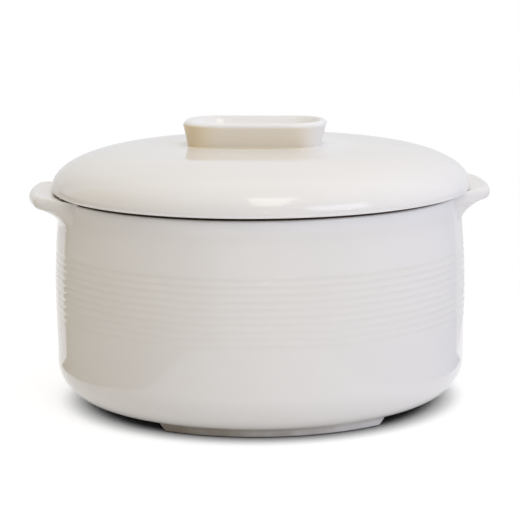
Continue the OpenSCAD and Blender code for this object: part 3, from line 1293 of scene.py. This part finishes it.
@dataclass
class Studio:
    """The pale floor, the soft light, the white surroundings and the camera.

    Attributes:
        turn_deg: Direction of the camera round the part, as an azimuth.
        tilt_deg: Height of the camera above the horizon.
        roll_deg: Lean of the camera.
        target_z: Height of the point that it looks at.
        distance: Distance from that point.
        lens: Focal length in millimetres.
        floor_half: Half the floor's width.
        floor_tone: Share of the light that the floor gives back to the part.
        painted_floor_share: Share of the floor near the part that the camera sees as glowing white with a
            painted contact shadow; the rest is lit paper that carries the same painted shadow.
        floor_white: Share of the light that the floor gives back to the camera.
        even_run: Distances from the middle between which the floor turns an even white altogether.
        shadow_paint_reach: How near the part has to be for the painted contact shadow to darken the floor.
        shadow_paint_rays: Number of rays that look for the part close by, for the painted shadow.
        painted_shadow_tones: Tones of the painted shadow on the floor, from a closed corner to the open
            floor.
        aim_z: Height of the point that the lamps face.
        card_x: Distance of the near cards to each side.
        card_near: Front end of the near cards.
        left_far: Back end of the left one.
        right_far: Back end of the right one.
        card_top: Height of the near cards.
        low_x: Inner edge of the two cards on the floor.
        low_z: Height of these.
        wing_far: Back end of the card that goes on behind the right one.
        room_x: Left and right ends of the room.
        room_y: Front and back ends of the room.
        side_far: Back end of the room's side cards.
        room_top: Height of the room's side and back cards.
        front_top: Height of the room's front card.
        levels: Brightness of the light.
    """

    turn_deg: float = -4.4
    tilt_deg: float = 10.1
    roll_deg: float = -0.53
    target_z: float = 77.16 * MM
    distance: float = 1.15
    lens: float = FOCAL_PX / PHOTO_PX * SENSOR_MM
    floor_half: float = 20.0
    floor_tone: float = 0.88
    painted_floor_share: float = 0.8
    floor_white: float = 1.4
    even_run: tuple[float, float] = (0.2, 0.4)
    shadow_paint_reach: float = 0.06
    shadow_paint_rays: int = 16
    painted_shadow_tones: tuple[tuple[float, float], ...] = (
        (0.08, 0.002), (0.11, 0.02), (0.13, 0.06), (0.17, 0.23), (0.21, 0.385), (0.29, 0.51), (0.35, 0.63),
        (0.41, 0.765), (0.47, 0.87), (0.53, 0.94), (0.59, 1))
    aim_z: float = 0.12
    card_x: float = 0.19
    card_near: float = -0.5
    left_far: float = 0.062
    right_far: float = 0.068
    card_top: float = 0.125
    low_x: float = 0.155
    low_z: float = 1 * MM
    wing_far: float = 0.45
    room_x: tuple[float, float] = (-1.6, 1.8)
    room_y: tuple[float, float] = (-1.8, 1.5)
    side_far: float = 0.9
    room_top: float = 2.0
    front_top: float = 3.0
    levels: LightLevels = LightLevels()

    def set_camera(self) -> None:
        """Place the camera where the photograph was taken from."""
        camera = bpy.data.cameras.new("studio_camera")
        camera.lens, camera.sensor_width = self.lens, SENSOR_MM
        holder = bpy.data.objects.new("studio_camera", camera)
        a, e = math.radians(self.turn_deg), math.radians(self.tilt_deg)
        back = Vector((math.sin(a) * math.cos(e), -math.cos(a) * math.cos(e), math.sin(e)))
        holder.location = Vector((0, 0, self.target_z)) + back * self.distance
        lean = Matrix.Rotation(math.radians(self.roll_deg), 4, "Z")
        look = (-back).to_track_quat("-Z", "Y").to_matrix().to_4x4()
        holder.rotation_euler = (look @ lean).to_euler()
        bpy.context.scene.collection.objects.link(holder)
        bpy.context.scene.camera = holder

    @staticmethod
    def shown_ray(bench: NodeBench) -> bpy.types.NodeSocket:
        """Give 1 for the rays that show the surroundings themselves, and 0 for those that light the part."""
        path = bench.add("ShaderNodeLightPath")
        seen = bench.maths("ADD", path.outputs["Is Camera Ray"], path.outputs["Is Glossy Ray"])
        return bench.maths("MINIMUM", bench.maths("ADD", seen, path.outputs["Is Transmission Ray"]), 1.0)

    def lay_floor(self) -> None:
        """Lay the pale floor, which stays white away from the part and carries a painted contact shadow, from
        ambient occlusion, near it.
        """
        h = self.floor_half
        floor = lay_sheet("studio_floor", [(-h, -h, 0), (h, -h, 0), (h, h, 0), (-h, h, 0)])
        material, bench = NodeBench.for_finish("studio_floor_paper")
        shown = self.shown_ray(bench)
        where = bench.add("ShaderNodeTexCoord").outputs["Object"]
        reach = bench.add("ShaderNodeVectorMath", Vector=where)
        reach.operation = "LENGTH"
        far = bench.spread(reach.outputs["Value"], self.even_run, (self.painted_floor_share, 1))
        # Painted shadow: the floor's tone is darkened where ambient occlusion finds the part close by.
        painted_shadow_ao = bench.add("ShaderNodeAmbientOcclusion", Distance=self.shadow_paint_reach)
        painted_shadow_ao.samples = self.shadow_paint_rays
        shade = bench.add("ShaderNodeValToRGB", Fac=painted_shadow_ao.outputs["AO"])
        for at, grey in self.painted_shadow_tones:
            mark = shade.color_ramp.elements.new(at)
            mark.color = (grey, grey, grey, 1)
        shade.color_ramp.elements.remove(shade.color_ramp.elements[0])
        shade.color_ramp.elements.remove(shade.color_ramp.elements[-1])
        bright = bench.maths("MULTIPLY", shade.outputs[0], self.floor_white)
        tone = bench.blend(shown, (self.floor_tone,) * 3 + (1,), bright)
        paper = bench.add("ShaderNodeBsdfDiffuse", Color=tone)
        white = bench.add("ShaderNodeEmission", Color=shade.outputs[0], Strength=1.0)
        surface = bench.add("ShaderNodeMixShader", Fac=bench.maths("MULTIPLY", far, shown))
        bench.feed(surface.inputs[1], paper.outputs[0])
        bench.feed(surface.inputs[2], white.outputs[0])
        bench.add("ShaderNodeOutputMaterial", Surface=surface.outputs[0])
        floor.data.materials.append(material)

    def wrap_white(self) -> None:
        """Make the surroundings white to look at, and a soft fill from each side for the light."""
        world = bpy.data.worlds.new("studio_white")
        world.use_nodes = True
        bench = NodeBench(world.node_tree)
        way = bench.add("ShaderNodeTexCoord").outputs["Generated"]
        toward = bench.add("ShaderNodeSeparateXYZ", Vector=way)
        total: bpy.types.NodeSocket | None = None
        for axis, sign, level in (("X", 1, self.levels.fill_right), ("X", -1, self.levels.fill_left),
                                  ("Y", 1, self.levels.fill_back), ("Y", -1, self.levels.fill_front),
                                  ("Z", 1, self.levels.fill_above)):
            facing = bench.maths("MAXIMUM", bench.maths("MULTIPLY", toward.outputs[axis], float(sign)), 0.0)
            lobe = bench.tree.nodes.new("ShaderNodeVectorMath")
            lobe.operation = "SCALE"
            lobe.inputs[0].default_value = level
            bench.feed(lobe.inputs["Scale"], bench.maths("MULTIPLY", facing, facing))
            if total is None:
                total = lobe.outputs[0]
                continue
            both = bench.tree.nodes.new("ShaderNodeVectorMath")
            bench.feed(both.inputs[0], total)
            bench.feed(both.inputs[1], lobe.outputs[0])
            total = both.outputs[0]
        colour = bench.blend(self.shown_ray(bench), total, (1, 1, 1, 1))
        back = bench.add("ShaderNodeBackground", Color=colour, Strength=1.0)
        bench.add("ShaderNodeOutputWorld", Surface=back.outputs[0])
        bpy.context.scene.world = world

    def hang_lamps(self) -> None:
        """Hang the lamps and stand the cards round the part, square to the camera."""
        about = Matrix.Rotation(math.radians(self.turn_deg), 4, "Z")
        lv, aim = self.levels, (0, 0, self.aim_z)
        (left, right), (front, back) = self.room_x, self.room_y
        x, near, top = self.card_x, self.card_near, self.card_top
        lamps = (
            Softbox("ceiling_panel", (0.09, -0.845, 1.3), (0.09, -0.845, 0), (0.395, 1.04), lv.panel),
            Softbox("right_window", (1.14, -1.26, 0.75), aim, (1.0, 0.75), lv.window),
            Softbox("front_glint", (0.073, -1.7, 0.445), aim, (0.09, 0.29), lv.glint),
            Softbox("right_glint", (1.165, -1.115, 0.335), aim, (0.17, 0.07), lv.glint),
        )
        cards = (
            Card.upright("left_card", (-x, near), (-x, self.left_far), top, lv.card_left),
            Card.upright("right_card", (x, near), (x, self.right_far), top, lv.card_right),
            Card.flat("left_low_card", (-x, near), (-self.low_x, self.left_far), self.low_z, lv.card_left),
            Card.flat("right_low_card", (self.low_x, near), (x, self.right_far), self.low_z, lv.card_right),
            Card.upright("right_wing_card", (x, self.right_far), (x, self.wing_far), top, lv.card_right_wing),
            Card.upright("left_high_card", (left, front), (left, self.side_far), self.room_top,
                         lv.card_left_high),
            Card.upright("right_high_card", (right, front), (right, self.side_far), self.room_top,
                         lv.card_right_high),
            Card.upright("front_card", (left, front), (right, front), self.front_top, lv.card_front),
            Card.upright("back_card", (left, back), (right, back), self.room_top, lv.card_back),
        )
        for stand in [lamp.hang() for lamp in lamps] + [card.stand() for card in cards]:
            stand.matrix_world = about @ stand.matrix_basis

    def set_up(self) -> None:
        """Set up the whole studio."""
        self.set_camera()
        self.lay_floor()
        self.wrap_white()
        self.hang_lamps()
        bpy.context.scene.view_settings.view_transform = "Standard"


def main() -> None:
    """Build the pieces in order, then the studio."""
    logging.basicConfig(level=logging.INFO, format="%(name)s: %(message)s")
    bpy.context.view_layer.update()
    kiln = Kiln.lit()
    pot = PotShell.from_frame()
    pot.build(kiln)
    for side in Side:
        Lug.from_frame(side, pot).build(kiln)
    for place in FootPlace:
        Foot.from_frame(place, pot).build(kiln)
    lid = LidShell.from_frame(pot)
    lid.build(kiln)
    LocatingRing.from_frame().build(kiln)
    Knob.from_frame(lid).build(kiln)
    Studio().set_up()


if __name__ == "__main__":
    main()
